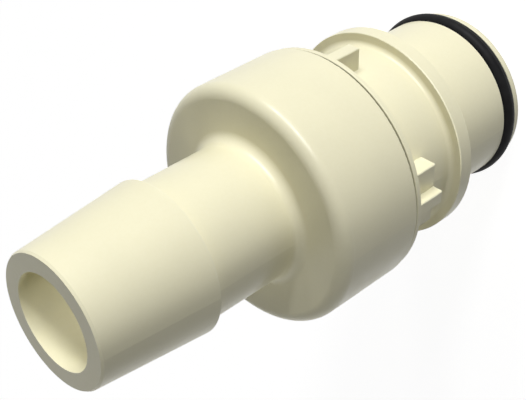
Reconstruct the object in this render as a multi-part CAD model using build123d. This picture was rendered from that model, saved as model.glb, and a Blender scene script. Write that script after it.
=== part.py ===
from build123d import *
import math
import os

# Plastic quick disconnect coupling: the insert half with a hose barb and a shut-off valve.
# Millimetres. The nose tip stands on z = 0, the flow axis is Z and the hose barb points up.

# Nose, from the tip upwards
nose_r = 12.47
nose_length = 15.78
nose_wall = 2.02
tip_lip = 1.10
tip_rounding = 0.35

# Seal ring around the nose, in its groove
nose_seal_section = 2.50
nose_seal_stand_out = 0.66
groove_corner = 0.20
seal_side_gap = 0.075
seal_seat_gap = 0.03

# Latch ring, and the latch groove between the ring and the flange, as heights above the nose
ring_height = 3.27
ring_thickness = 2.34
ring_root_fillet = 0.75
edge_rounding = 0.15
latch_groove_length = 10.57
latch_groove_height_at_ring = 1.50
latch_groove_height_at_flange = 0.63
latch_groove_wall = 2.00

# Flange that closes the collar, with the keying ribs and pads that stand against it
flange_step = 0.20
flange_thickness = 0.78
rib_count = 4
rib_width = 1.90
rib_inset = 0.66
rib_length = 5.23
pad_count = 2
pad_width = 9.20
pad_inset = 2.21
rib_chamfer = 0.12

# Collar and its tongue and groove joint with the flange
collar_r = 17.56
collar_length = 14.15
collar_wall = 2.31
collar_front_rounding = 1.80
collar_end_wall = 2.62
seam_gap = 0.40
joint_gap = 0.05
joint_end_gap = 0.20
tongue_wall = 1.75
sleeve_wall = 2.10

# Hose barb
neck_r = 9.90
neck_length = 14.84
neck_root_fillet = 1.45
barb_length = 17.14
barb_r = 10.97
barb_lip_r = 9.46
barb_lip_height = 0.33
barb_end_r = 9.24
bore_r = 6.75
bore_throat_rounding = 1.00

# Valve port in the nose tip, and the 45 degree seat inside it
seat_bore_wall = 1.70
seat_width = 1.50
port_lead_in = 0.50
port_depth = 1.50
seat_bore_run_out = 1.00
inner_step_rounding = 0.50

# Poppet
poppet_setback = 0.40
poppet_port_gap = 0.30
poppet_edge = 0.50
poppet_seal_section = 1.80
poppet_seal_stand_out = 1.30
poppet_seat_gap = 0.10
poppet_flange_gap = 0.40
poppet_flange_thickness = 1.20
poppet_boss_height = 1.60
poppet_flare_height = 3.70
stem_r = 2.50
stem_overrun = 1.50
stem_edge = 0.40

# Valve guide: a rim and a hub joined by spokes
guide_ledge_height = 1.53
guide_rim_height = 2.40
guide_clamp_gap = 0.05
guide_spoke_count = 4
guide_spoke_width = 2.00
guide_seat_width = 0.70
guide_seat_thickness = 1.40
hub_depth = 3.50
hub_height = 4.50
hub_top_r = 4.00
stem_running_gap = 0.05

# Valve spring
spring_wire = 1.00
spring_mean_r = 6.20
spring_turns = 6
spring_guide_gap = 0.40
spring_end_gap = 0.10

# Levels of the nose housing
groove_width = nose_seal_section + 2 * seal_side_gap
groove_top = tip_lip + groove_width
ring_top = nose_length + ring_thickness
flange_bottom = ring_top + latch_groove_length
flange_top = flange_bottom + flange_thickness
guide_ledge = flange_top + guide_ledge_height

# Levels of the barb housing
collar_rear = flange_top + seam_gap
collar_face = collar_rear + collar_length
joint_top = collar_face - collar_end_wall
barb_edge = collar_face + neck_length
barb_end = barb_edge + barb_length
sleeve_end = guide_ledge + guide_rim_height + guide_clamp_gap

# Radii of the joint, from the collar inwards
slot_outer_r = collar_r - collar_wall
tongue_outer_r = slot_outer_r - joint_gap
tongue_inner_r = tongue_outer_r - tongue_wall
sleeve_outer_r = tongue_inner_r - joint_gap
chamber_r = sleeve_outer_r - sleeve_wall
tongue_end = joint_top - joint_end_gap

# Radii outside the nose housing
ring_r = nose_r + ring_height
latch_groove_r_at_ring = nose_r + latch_groove_height_at_ring
latch_groove_r_at_flange = nose_r + latch_groove_height_at_flange
flange_r = collar_r - flange_step
rib_reach = flange_r - rib_inset
pad_reach = flange_r - pad_inset

# Seal ring on the nose
nose_seal_centre_r = nose_r + nose_seal_stand_out - nose_seal_section / 2
nose_seal_centre_z = tip_lip + groove_width / 2
groove_floor_r = nose_seal_centre_r - nose_seal_section / 2 - seal_seat_gap

# Radii inside the nose housing
nose_inner_r = nose_r - nose_wall
latch_inner_r = latch_groove_r_at_flange - latch_groove_wall
seat_bore_r = groove_floor_r - seat_bore_wall
port_r = seat_bore_r - seat_width

# Poppet seal: it closes on the 45 degree seat, whose points have z - r = port_depth - port_r
poppet_nose_r = port_r - poppet_port_gap
poppet_seal_centre_r = poppet_nose_r + poppet_seal_stand_out - poppet_seal_section / 2
poppet_seal_lift = math.sqrt(2) * (poppet_seal_section / 2 + poppet_seat_gap)
poppet_seal_centre_z = poppet_seal_centre_r + port_depth - port_r + poppet_seal_lift
poppet_groove_half = poppet_seal_section / 2 + seal_side_gap
poppet_head_top = poppet_seal_centre_z + poppet_groove_half + poppet_flange_thickness

# Spring seats and the stem in its hub
spring_inner_guide_r = spring_mean_r - spring_wire / 2 - spring_guide_gap
guide_seat_r = spring_mean_r + spring_wire / 2 + guide_seat_width
hub_bore_r = stem_r + stem_running_gap
hub_bottom = guide_ledge - hub_depth
hub_top = guide_ledge + hub_height
stem_end = hub_top + stem_overrun


# How boxes and cylinders are placed: standing on their base, or reaching out from the axis
on_base = (Align.CENTER, Align.CENTER, Align.MIN)
out_from_axis = (Align.MIN, Align.CENTER, Align.MIN)


def turned(corners):
    """Solid of revolution about Z; each corner is (radius, height, rounding)."""
    points = [(radius, height) for radius, height, rounding in corners]
    roundings = [rounding for radius, height, rounding in corners]
    outline = FilletPolyline(*points, radius=roundings, close=True)
    return revolve(Plane.XZ * make_face(outline), Axis.Z)


def ring_of_section(centre_r, centre_z, section):
    """Round-section seal ring."""
    return Pos(0, 0, centre_z) * Torus(centre_r, section / 2)


def radial_block(reach, width, bottom, top):
    """Block from the axis out to a flat face at reach, with its edges broken."""
    block = Box(reach, width, top - bottom, align=out_from_axis)
    outer_edges = block.edges().group_by(Axis.X)[-1]
    return Pos(0, 0, bottom) * chamfer(outer_edges, rib_chamfer)


def around(shape, count):
    """Copies of a shape turned evenly about the flow axis."""
    return [Rot(0, 0, index * 360 / count) * shape for index in range(count)]


def hose_barb_housing():
    """Barb, neck and hollow collar in one moulding."""
    outside = turned([
        (0, barb_end, 0),
        (barb_end_r, barb_end, 0),
        (barb_lip_r, barb_end - barb_lip_height, 0),
        (barb_r, barb_edge, 0),
        (neck_r, barb_edge, edge_rounding),
        (neck_r, collar_face, neck_root_fillet),
        (collar_r, collar_face, collar_front_rounding),
        (collar_r, collar_rear, edge_rounding),
        (0, collar_rear, 0),
    ])
    chamber_top = collar_face - (chamber_r - bore_r)
    flow_way = turned([
        (0, collar_rear, 0),
        (chamber_r, collar_rear, 0),
        (chamber_r, chamber_top, inner_step_rounding),
        (bore_r, collar_face, bore_throat_rounding),
        (bore_r, barb_end, 0),
        (0, barb_end, 0),
    ])
    joint_slot = turned([
        (sleeve_outer_r, collar_rear, 0),
        (slot_outer_r, collar_rear, 0),
        (slot_outer_r, joint_top, 0),
        (sleeve_outer_r, joint_top, 0),
    ])
    guide_room = turned([
        (0, collar_rear, 0),
        (sleeve_outer_r, collar_rear, 0),
        (sleeve_outer_r, sleeve_end, 0),
        (0, sleeve_end, 0),
    ])
    return outside - flow_way - joint_slot - guide_room


def nose_housing():
    """Nose with its seal groove, latch ring, keyed flange and the tongue that enters the collar."""
    outside = turned([
        (0, 0, 0),
        (nose_r, 0, tip_rounding),
        (nose_r, tip_lip, 0),
        (groove_floor_r, tip_lip, groove_corner),
        (groove_floor_r, groove_top, groove_corner),
        (nose_r, groove_top, 0),
        (nose_r, nose_length, edge_rounding),
        (ring_r, nose_length, edge_rounding),
        (ring_r, ring_top, edge_rounding),
        (latch_groove_r_at_ring, ring_top, ring_root_fillet),
        (latch_groove_r_at_flange, flange_bottom, 0),
        (flange_r, flange_bottom, edge_rounding),
        (flange_r, flange_top, edge_rounding),
        (tongue_outer_r, flange_top, 0),
        (tongue_outer_r, tongue_end, edge_rounding),
        (0, tongue_end, 0),
    ])
    rib = radial_block(rib_reach, rib_width, flange_bottom - rib_length, flange_top)
    pad = radial_block(pad_reach, pad_width, flange_bottom - rib_length, flange_top)
    return outside + around(rib, rib_count) + around(pad, pad_count) - nose_inside()


def nose_inside():
    """Flow way through the nose: port, 45 degree seat, valve chamber and the ledge for the guide."""
    seat_top = port_depth + seat_width
    seat_bore_end = max(groove_top, seat_top) + seat_bore_run_out
    nose_bore_start = seat_bore_end + nose_inner_r - seat_bore_r
    latch_bore_start = ring_top - (latch_inner_r - nose_inner_r)
    return turned([
        (0, 0, 0),
        (port_r + port_lead_in, 0, 0),
        (port_r, port_lead_in, 0),
        (port_r, port_depth, 0),
        (seat_bore_r, seat_top, 0),
        (seat_bore_r, seat_bore_end, 0),
        (nose_inner_r, nose_bore_start, inner_step_rounding),
        (nose_inner_r, latch_bore_start, inner_step_rounding),
        (latch_inner_r, ring_top, inner_step_rounding),
        (latch_inner_r, guide_ledge, 0),
        (tongue_inner_r, guide_ledge, 0),
        (tongue_inner_r, tongue_end, 0),
        (0, tongue_end, 0),
    ])


def nose_seal_ring():
    return ring_of_section(nose_seal_centre_r, nose_seal_centre_z, nose_seal_section)


def valve_poppet():
    """Head with its seal groove, spring boss and flare, and the stem that runs in the guide."""
    groove_bottom = poppet_seal_centre_z - poppet_groove_half
    groove_top_side = poppet_seal_centre_z + poppet_groove_half
    groove_floor = poppet_seal_centre_r - poppet_seal_section / 2 - seal_seat_gap
    flange_edge_r = seat_bore_r - poppet_flange_gap
    boss_top = poppet_head_top + poppet_boss_height
    return turned([
        (0, poppet_setback, 0),
        (poppet_nose_r - poppet_edge, poppet_setback, 0),
        (poppet_nose_r, poppet_setback + poppet_edge, 0),
        (poppet_nose_r, groove_bottom, 0),
        (groove_floor, groove_bottom, 0),
        (groove_floor, groove_top_side, 0),
        (flange_edge_r, groove_top_side, 0),
        (flange_edge_r, poppet_head_top, edge_rounding),
        (spring_inner_guide_r, poppet_head_top, 0),
        (spring_inner_guide_r, boss_top, edge_rounding),
        (stem_r, boss_top + poppet_flare_height, inner_step_rounding),
        (stem_r, stem_end - stem_edge, 0),
        (stem_r - stem_edge, stem_end, 0),
        (0, stem_end, 0),
    ])


def poppet_seal_ring():
    return ring_of_section(poppet_seal_centre_r, poppet_seal_centre_z, poppet_seal_section)


def valve_guide():
    """Rim on the ledge of the nose housing, spokes, spring seat and the hub that holds the stem."""
    rim = turned([
        (chamber_r, guide_ledge, 0),
        (tongue_inner_r - joint_gap, guide_ledge, edge_rounding),
        (tongue_inner_r - joint_gap, guide_ledge + guide_rim_height, edge_rounding),
        (chamber_r, guide_ledge + guide_rim_height, 0),
    ])
    hub = turned([
        (0, hub_bottom, 0),
        (spring_inner_guide_r, hub_bottom, edge_rounding),
        (spring_inner_guide_r, guide_ledge, 0),
        (guide_seat_r, guide_ledge, 0),
        (guide_seat_r, guide_ledge + guide_seat_thickness, edge_rounding),
        (spring_inner_guide_r, guide_ledge + guide_seat_thickness, 0),
        (hub_top_r, hub_top, edge_rounding),
        (0, hub_top, 0),
    ])
    spoke_reach = (chamber_r + tongue_inner_r) / 2
    spoke = Box(spoke_reach, guide_spoke_width, guide_rim_height, align=out_from_axis)
    spokes = around(Pos(0, 0, guide_ledge) * spoke, guide_spoke_count)
    bore = Cylinder(hub_bore_r, hub_top - hub_bottom, align=on_base)
    return hub + rim + spokes - Pos(0, 0, hub_bottom) * bore


def valve_spring():
    """Compression spring with both ends ground flat, between the poppet head and the guide."""
    bottom = poppet_head_top + spring_end_gap
    length = guide_ledge - bottom
    pitch = length / spring_turns
    path = Helix(pitch, length + spring_wire, spring_mean_r, center=(0, 0, bottom - spring_wire / 2))
    section = Plane(origin=path @ 0, z_dir=path % 0) * Circle(spring_wire / 2)
    coil = sweep(section, path, is_frenet=True)
    room = Cylinder(guide_seat_r, length, align=on_base)
    return coil & (Pos(0, 0, bottom) * room)


pieces = {
    "hose_barb_housing": hose_barb_housing(),
    "nose_housing": nose_housing(),
    "nose_seal_ring": nose_seal_ring(),
    "valve_poppet": valve_poppet(),
    "poppet_seal_ring": poppet_seal_ring(),
    "valve_guide": valve_guide(),
    "valve_spring": valve_spring(),
}

os.makedirs("parts", exist_ok=True)
for name, piece in pieces.items():
    export_step(piece, f"parts/{name}.step")
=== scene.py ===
import math
import bmesh
import bpy
from mathutils import Matrix, Vector


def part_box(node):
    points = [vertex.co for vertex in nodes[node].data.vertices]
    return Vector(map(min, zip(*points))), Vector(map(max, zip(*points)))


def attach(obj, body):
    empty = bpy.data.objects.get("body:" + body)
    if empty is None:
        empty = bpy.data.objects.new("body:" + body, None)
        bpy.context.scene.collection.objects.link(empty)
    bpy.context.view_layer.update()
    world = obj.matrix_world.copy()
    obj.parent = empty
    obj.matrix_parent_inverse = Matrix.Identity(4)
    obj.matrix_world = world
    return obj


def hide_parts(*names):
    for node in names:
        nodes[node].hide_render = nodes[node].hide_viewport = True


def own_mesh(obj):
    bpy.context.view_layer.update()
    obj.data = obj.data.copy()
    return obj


# Plastic quick disconnect coupling: materials, spring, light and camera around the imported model.
# In metres. The part stands on its nose tip at z = 0 with the hose barb up; the flow axis is Z.

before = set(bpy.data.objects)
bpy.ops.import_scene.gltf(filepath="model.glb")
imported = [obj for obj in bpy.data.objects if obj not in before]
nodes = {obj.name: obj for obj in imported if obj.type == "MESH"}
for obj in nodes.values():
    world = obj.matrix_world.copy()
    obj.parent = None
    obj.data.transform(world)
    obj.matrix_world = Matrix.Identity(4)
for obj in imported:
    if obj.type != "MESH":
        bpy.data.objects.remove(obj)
bpy.context.scene.view_settings.view_transform = "Standard"
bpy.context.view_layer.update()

MM = 0.001

# Colours, as linear values; each plastic has its plain colour, a deeper tone for its clouds and its
# painted corner shade, and a paler tone for its speckle and its edges, which are partly rubbed wear
# and partly painted highlight
HOUSING_COLOURS = ((0.855, 0.815, 0.580), (0.520, 0.500, 0.375), (0.920, 0.890, 0.700))
VALVE_COLOURS = ((0.860, 0.840, 0.720), (0.600, 0.585, 0.490), (0.900, 0.885, 0.780))
RUBBER_BLACK = (0.006, 0.006, 0.0065)
RUBBER_GREY = (0.012, 0.012, 0.0125)
STEEL = (0.560, 0.560, 0.550)
STEEL_DARK = (0.400, 0.395, 0.385)
WHITE = (1.0, 1.0, 1.0)

# Roughness, the middle of its range for the plastics and both ends for the others, and gloss
HOUSING_ROUGHNESS = 0.32
VALVE_ROUGHNESS = 0.34
PLASTIC_GLOSS = 0.40
RUBBER_ROUGHNESS = (0.46, 0.60)
RUBBER_GLOSS = 0.10
WIRE_ROUGHNESS = (0.24, 0.38)

# Noise patterns: size of the patches and levels of detail
CLOUDS = (9.0 * MM, 4.0)
SPECKLE = (0.5 * MM, 2.0)
SHEEN = (2.5 * MM, 4.0)
FLOW = (3.0 * MM, 2.0)
GRAIN = (0.16 * MM, 2.0)
BLOOM = (1.6 * MM, 4.0)
DULLNESS = (0.8 * MM, 3.0)
RUBBER_GRAIN = (0.12 * MM, 3.0)

# Values of a pattern or an occlusion between which its effect runs from one end to the other
PATCHY = (0.35, 0.65)
SMOOTH = (0.3, 0.7)
BLOOMED = (0.4, 0.7)
PAINTED_CORNER_SHADE = (0.30, 0.80)
EDGE_WEAR_AND_HIGHLIGHT = (0.45, 0.80)

# Plastic: how far each effect moves the colour, and the reach of the painted shade in corners and of
# the paler edges, partly wear and partly painted highlight
CLOUD_SHARE = 0.07
SPECKLE_SHARE = 0.10
PAINTED_CORNER_SHADE_SHARE = 0.55
EDGE_WEAR_AND_HIGHLIGHT_SHARE = 0.50
PAINTED_CORNER_SHADE_REACH = 2.0 * MM
EDGE_WEAR_AND_HIGHLIGHT_REACH = 0.35 * MM
AO_SAMPLES = 8

# Plastic: roughness below and above the middle, polish of rubbed edges, and relief
SHEEN_DOWN = 0.04
SHEEN_UP = 0.05
EDGE_POLISH = 0.06
FLOW_STRETCH = (1.0, 1.0, 0.25)
FLOW_DEPTH = 0.012 * MM
GRAIN_DEPTH = 0.003 * MM

# Rubber: flash line and relief
FLASH_HALF_WIDTH = 0.07 * MM
FLASH_HEIGHT = 0.04 * MM
RUBBER_GRAIN_DEPTH = 0.006 * MM

# Wire: drawing lines, stretched in steps along the wire and turns round it
LINES_STRETCH = (0.6, 40.0, 1.0)
LINES_DETAIL = 3.0
LINES_DEPTH = 0.004 * MM

# Valve spring
SPRING_WIRE_R = 0.5 * MM
SPRING_TURNS = 6
STEPS_PER_TURN = 72
WIRE_SIDES = 20
WELD_DISTANCE = 0.0005 * MM
SHARP_ANGLE = math.radians(50.0)

# Light, as the value at which a white surface that faces it renders.
# Lamps: name, azimuth from +X towards +Y, elevation, spread, level, casts a shadow,
# shows in gloss.
# The front light also reaches the bore and the grooves; the others throw the shadows.
# The back light stays out of the gloss, or flat faces glare white from the side opposite it.
LAMPS = [
    ("side_light", 101.0, 6.0, 10.0, 0.38, True, True),
    ("key_light", 82.0, 11.0, 10.0, 0.40, True, True),
    ("front_light", 66.0, 13.0, 12.0, 0.35, False, True),
    ("back_light", 270.0, 5.0, 16.0, 0.44, True, False),
    ("top_light", 45.0, 84.0, 20.0, 0.01, True, True),
]
SKY_LEVEL = 0.005
FLOOR_SHADE = 0.40
FLOOR_GLOW = 0.90
FLOOR_HALF = 3.0

# Camera: the photograph's view, rolled so that the standing part lies across the picture
CAMERA_TARGET = Vector((0.0, 0.0, 0.0410))
CAMERA_DISTANCE = 0.158
CAMERA_AZIMUTH = 45.0
CAMERA_ELEVATION = 34.38
CAMERA_ROLL = -120.23
CAMERA_LENS = 80.02
CAMERA_SENSOR = 36.0
CAMERA_CLIP = (0.005, 20.0)


def direction(azimuth, elevation):
    """Unit vector at an azimuth, counted from +X towards +Y, and an elevation above the floor."""
    a, e = math.radians(azimuth), math.radians(elevation)
    return Vector((math.cos(a) * math.cos(e), math.sin(a) * math.cos(e), math.sin(e)))


def facing(back):
    """Rotation of a camera or lamp whose back points that way."""
    return back.to_track_quat("Z", "Y").to_matrix().to_4x4()


def add_object(name, data):
    """New object in the scene."""
    made = bpy.data.objects.new(name, data)
    bpy.context.scene.collection.objects.link(made)
    return made


class Graph:
    """Short calls for the nodes of a material or of the world."""

    def __init__(self, owner, shader="Principled BSDF"):
        owner.use_nodes = True
        self.owner = owner
        self.tree = owner.node_tree
        self.shader = self.tree.nodes[shader]

    def node(self, kind, **inputs):
        """New node; an input's name has its spaces as underscores."""
        made = self.tree.nodes.new(kind)
        for name, value in inputs.items():
            self.set(made, name.replace("_", " "), value)
        return made

    def set(self, node, socket, value):
        """A socket takes a number, a colour, or another node's output."""
        target = node.inputs[socket]
        if isinstance(value, bpy.types.NodeSocket):
            self.tree.links.new(value, target)
        elif target.type == "RGBA":
            target.default_value = (*value, 1.0)
        else:
            target.default_value = value

    def place(self, stretch=(1.0, 1.0, 1.0)):
        """The piece's own coordinates in metres, stretched along each axis."""
        source = self.node("ShaderNodeTexCoord").outputs["Object"]
        return self.node("ShaderNodeMapping", Vector=source, Scale=stretch).outputs["Vector"]

    def noise(self, size, detail, stretch=(1.0, 1.0, 1.0)):
        """Noise whose patches are about that size, from 0 to 1."""
        where = self.place(stretch)
        made = self.node("ShaderNodeTexNoise", Vector=where, Scale=1 / size, Detail=detail)
        return made.outputs["Fac"]

    def ramp(self, value, start, end, low=0.0, high=1.0):
        """Straight line from low at start to high at end, held outside."""
        ends = {"From_Min": start, "From_Max": end, "To_Min": low, "To_Max": high}
        return self.node("ShaderNodeMapRange", Value=value, **ends).outputs["Result"]

    def math(self, operation, a, b=0.0):
        """Result of one operation on one or two numbers."""
        made = self.node("ShaderNodeMath")
        made.operation = operation
        self.set(made, 0, a)
        self.set(made, 1, b)
        return made.outputs[0]

    def mix(self, factor, a, b):
        """Colour between a and b."""
        made = self.node("ShaderNodeMix")
        made.data_type = "RGBA"
        for socket, value in (("Factor_Float", factor), ("A_Color", a), ("B_Color", b)):
            index = next(i for i, each in enumerate(made.inputs) if each.identifier == socket)
            self.set(made, index, value)
        return next(each for each in made.outputs if each.identifier == "Result_Color")

    def shade(self, distance, inside=False):
        """Occlusion nearby: 0 deep in a corner, or at an outer edge with inside set, 1 in the open."""
        made = self.node("ShaderNodeAmbientOcclusion", Distance=distance)
        made.inside = inside
        made.samples = AO_SAMPLES
        return made.outputs["AO"]

    def bump(self, height, depth, under=None):
        """Normals of a relief of that depth, on top of another relief."""
        made = self.node("ShaderNodeBump", Height=height, Distance=depth)
        if under is not None:
            self.set(made, "Normal", under)
        return made.outputs["Normal"]

    def seen(self):
        """1 for rays from the camera, a gloss or a clear surface, 0 for rays that light the object."""
        path = self.node("ShaderNodeLightPath").outputs
        direct = self.math("MAXIMUM", path["Is Camera Ray"], path["Is Glossy Ray"])
        return self.math("MAXIMUM", direct, path["Is Transmission Ray"])


def moulded_plastic(name, colour, deep, pale, roughness):
    """Satin moulded plastic: faint clouds and speckle, fine grain, painted shade in the corners, and
    paler rubbed edges that are partly a painted highlight.
    """
    g = Graph(bpy.data.materials.new(name))
    clouds = g.ramp(g.noise(*CLOUDS), *PATCHY)
    speckle = g.ramp(g.noise(*SPECKLE), *PATCHY)
    # Painted shade: occlusion darkens the colour towards the deep tone in inner corners, recesses and
    # the seam.
    corner = g.ramp(g.shade(PAINTED_CORNER_SHADE_REACH), *PAINTED_CORNER_SHADE, 1.0, 0.0)
    # Paler outer edges, partly rubbed wear and partly a painted highlight; the same mask makes the
    # edges a little smoother.
    edge = g.ramp(g.shade(EDGE_WEAR_AND_HIGHLIGHT_REACH, inside=True), *EDGE_WEAR_AND_HIGHLIGHT, 1.0, 0.0)
    tone = g.mix(g.math("MULTIPLY", clouds, CLOUD_SHARE), colour, deep)
    tone = g.mix(g.math("MULTIPLY", speckle, SPECKLE_SHARE), tone, pale)
    # Painted shade in the corners, then paler edges, partly wear and partly painted highlight
    tone = g.mix(g.math("MULTIPLY", corner, PAINTED_CORNER_SHADE_SHARE), tone, deep)
    tone = g.mix(g.math("MULTIPLY", edge, EDGE_WEAR_AND_HIGHLIGHT_SHARE), tone, pale)
    g.set(g.shader, "Base Color", tone)
    sheen = g.ramp(g.noise(*SHEEN), *SMOOTH, roughness - SHEEN_DOWN, roughness + SHEEN_UP)
    g.set(g.shader, "Roughness", g.math("SUBTRACT", sheen, g.math("MULTIPLY", edge, EDGE_POLISH)))
    flow = g.bump(g.noise(*FLOW, FLOW_STRETCH), FLOW_DEPTH)
    g.set(g.shader, "Normal", g.bump(g.noise(*GRAIN), GRAIN_DEPTH, under=flow))
    g.set(g.shader, "Specular IOR Level", PLASTIC_GLOSS)
    return g.owner


def ring_rubber(name, equator):
    """Black moulded rubber with a faint flash line round its middle."""
    g = Graph(bpy.data.materials.new(name))
    bloom = g.ramp(g.noise(*BLOOM), *BLOOMED)
    g.set(g.shader, "Base Color", g.mix(bloom, RUBBER_BLACK, RUBBER_GREY))
    g.set(g.shader, "Roughness", g.ramp(g.noise(*DULLNESS), *SMOOTH, *RUBBER_ROUGHNESS))
    height = g.node("ShaderNodeSeparateXYZ", Vector=g.place()).outputs["Z"]
    from_line = g.math("ABSOLUTE", g.math("SUBTRACT", height, equator))
    flash = g.ramp(from_line, 0.0, FLASH_HALF_WIDTH, 1.0, 0.0)
    grain = g.bump(g.noise(*RUBBER_GRAIN), RUBBER_GRAIN_DEPTH)
    g.set(g.shader, "Normal", g.bump(flash, FLASH_HEIGHT, under=grain))
    g.set(g.shader, "Specular IOR Level", RUBBER_GLOSS)
    return g.owner


def drawn_wire(name):
    """Stainless spring wire with fine lines from drawing along its length."""
    g = Graph(bpy.data.materials.new(name))
    along = g.node("ShaderNodeUVMap").outputs["UV"]
    drawn = g.node("ShaderNodeMapping", Vector=along, Scale=LINES_STRETCH).outputs["Vector"]
    lines = g.node("ShaderNodeTexNoise", Vector=drawn, Scale=1.0, Detail=LINES_DETAIL).outputs["Fac"]
    g.set(g.shader, "Base Color", g.mix(g.ramp(lines, *PATCHY), STEEL_DARK, STEEL))
    g.set(g.shader, "Roughness", g.ramp(lines, *SMOOTH, *WIRE_ROUGHNESS))
    g.set(g.shader, "Normal", g.bump(lines, LINES_DEPTH))
    g.set(g.shader, "Metallic", 1.0)
    return g.owner


def give(node, material):
    """The node's only material."""
    node.data.materials.clear()
    node.data.materials.append(material)


def coil_spring(low, high, material):
    """The valve spring as a swept wire, with both ends ground flat, in the room of its CAD node."""
    coil_r = high.x - SPRING_WIRE_R
    rise = high.z - low.z + 2 * SPRING_WIRE_R
    total = SPRING_TURNS * STEPS_PER_TURN
    slope = rise / (2 * math.pi * SPRING_TURNS * coil_r)
    verts, faces, uvs = [], [], []
    for step in range(total + 1):
        turn = 2 * math.pi * step / STEPS_PER_TURN
        out = Vector((math.cos(turn), math.sin(turn), 0.0))
        run = Vector((-math.sin(turn), math.cos(turn), slope)).normalized()
        side = run.cross(out)
        centre = out * coil_r + Vector((0.0, 0.0, low.z - SPRING_WIRE_R + rise * step / total))
        # Past the ground end by this much, the wire has a flat of twice this half-width
        beyond = max(low.z - centre.z, centre.z - high.z, 0.0)
        flat = math.sqrt(max(SPRING_WIRE_R**2 - beyond**2, 0.0))
        for corner in range(WIRE_SIDES):
            angle = 2 * math.pi * corner / WIRE_SIDES
            across, up = SPRING_WIRE_R * math.cos(angle), SPRING_WIRE_R * math.sin(angle)
            point = centre + across * out + up * side
            height = min(max(point.z, low.z), high.z)
            if height != point.z:
                point = centre + min(max(across, -flat), flat) * out
                point.z = height
            verts.append(point)
    for step in range(total):
        for corner in range(WIRE_SIDES):
            following = (corner + 1) % WIRE_SIDES
            here, there = step * WIRE_SIDES, (step + 1) * WIRE_SIDES
            faces.append((here + corner, here + following, there + following, there + corner))
            start, end = corner / WIRE_SIDES, (corner + 1) / WIRE_SIDES
            uvs.extend(((step, start), (step, end), (step + 1, end), (step + 1, start)))
    mesh = bpy.data.meshes.new("valve_spring_coil")
    mesh.from_pydata(verts, [], faces)
    layer = mesh.uv_layers.new(name="along_the_wire")
    for loop, uv in zip(layer.data, uvs):
        loop.uv = uv
    welded = bmesh.new()
    welded.from_mesh(mesh)
    bmesh.ops.remove_doubles(welded, verts=welded.verts, dist=WELD_DISTANCE)
    welded.to_mesh(mesh)
    welded.free()
    mesh.shade_smooth()
    mesh.set_sharp_from_angle(angle=SHARP_ANGLE)
    mesh.materials.append(material)
    return add_object("valve_spring_coil", mesh)


def add_camera():
    """The photograph's camera."""
    data = bpy.data.cameras.new("photo_camera")
    data.lens = CAMERA_LENS
    data.sensor_width = CAMERA_SENSOR
    data.sensor_fit = "HORIZONTAL"
    data.clip_start, data.clip_end = CAMERA_CLIP
    camera = add_object("photo_camera", data)
    back = direction(CAMERA_AZIMUTH, CAMERA_ELEVATION)
    place = Matrix.Translation(CAMERA_TARGET + back * CAMERA_DISTANCE)
    camera.matrix_world = place @ facing(back) @ Matrix.Rotation(math.radians(CAMERA_ROLL), 4, "Z")
    bpy.context.scene.camera = camera


def add_lamp(name, azimuth, elevation, spread, level, shadow, gloss):
    """Distant lamp of that angular width."""
    data = bpy.data.lights.new(name, "SUN")
    data.energy = math.pi * level
    data.angle = math.radians(spread)
    data.use_shadow = shadow
    lamp = add_object(name, data)
    lamp.matrix_world = facing(direction(azimuth, elevation))
    lamp.visible_glossy = gloss


def add_world():
    """White behind the object and in its gloss, with hardly any light of its own."""
    world = bpy.data.worlds.new("studio")
    bpy.context.scene.world = world
    g = Graph(world, shader="Background")
    g.set(g.shader, "Color", WHITE)
    g.set(g.shader, "Strength", g.ramp(g.seen(), 0.0, 1.0, SKY_LEVEL, 1.0))


def add_floor():
    """Large pale plane that shows white and keeps the object's shadow."""
    half = FLOOR_HALF
    corners = [(-half, -half, 0), (half, -half, 0), (half, half, 0), (-half, half, 0)]
    mesh = bpy.data.meshes.new("floor")
    mesh.from_pydata(corners, [], [(0, 1, 2, 3)])
    g = Graph(bpy.data.materials.new("pale_floor"))
    g.set(g.shader, "Base Color", (FLOOR_SHADE,) * 3)
    g.set(g.shader, "Roughness", 1.0)
    g.set(g.shader, "Specular IOR Level", 0.0)
    g.set(g.shader, "Emission Color", WHITE)
    g.set(g.shader, "Emission Strength", g.math("MULTIPLY", g.seen(), FLOOR_GLOW))
    mesh.materials.append(g.owner)
    add_object("floor", mesh)


housing_plastic = moulded_plastic("cream_plastic", *HOUSING_COLOURS, HOUSING_ROUGHNESS)
valve_plastic = moulded_plastic("valve_plastic_pale", *VALVE_COLOURS, VALVE_ROUGHNESS)
give(nodes["hose_barb_housing"], housing_plastic)
give(nodes["nose_housing"], housing_plastic)
give(nodes["valve_poppet"], valve_plastic)
give(nodes["valve_guide"], valve_plastic)
for ring in ("nose_seal_ring", "poppet_seal_ring"):
    low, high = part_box(ring)
    give(nodes[ring], ring_rubber(ring + "_rubber", (low.z + high.z) / 2))

spring_low, spring_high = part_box("valve_spring")
coil = coil_spring(spring_low, spring_high, drawn_wire("spring_wire_steel"))
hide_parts("valve_spring")
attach(coil, "housing")
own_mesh(coil)

add_world()
add_floor()
for lamp in LAMPS:
    add_lamp(*lamp)
add_camera()
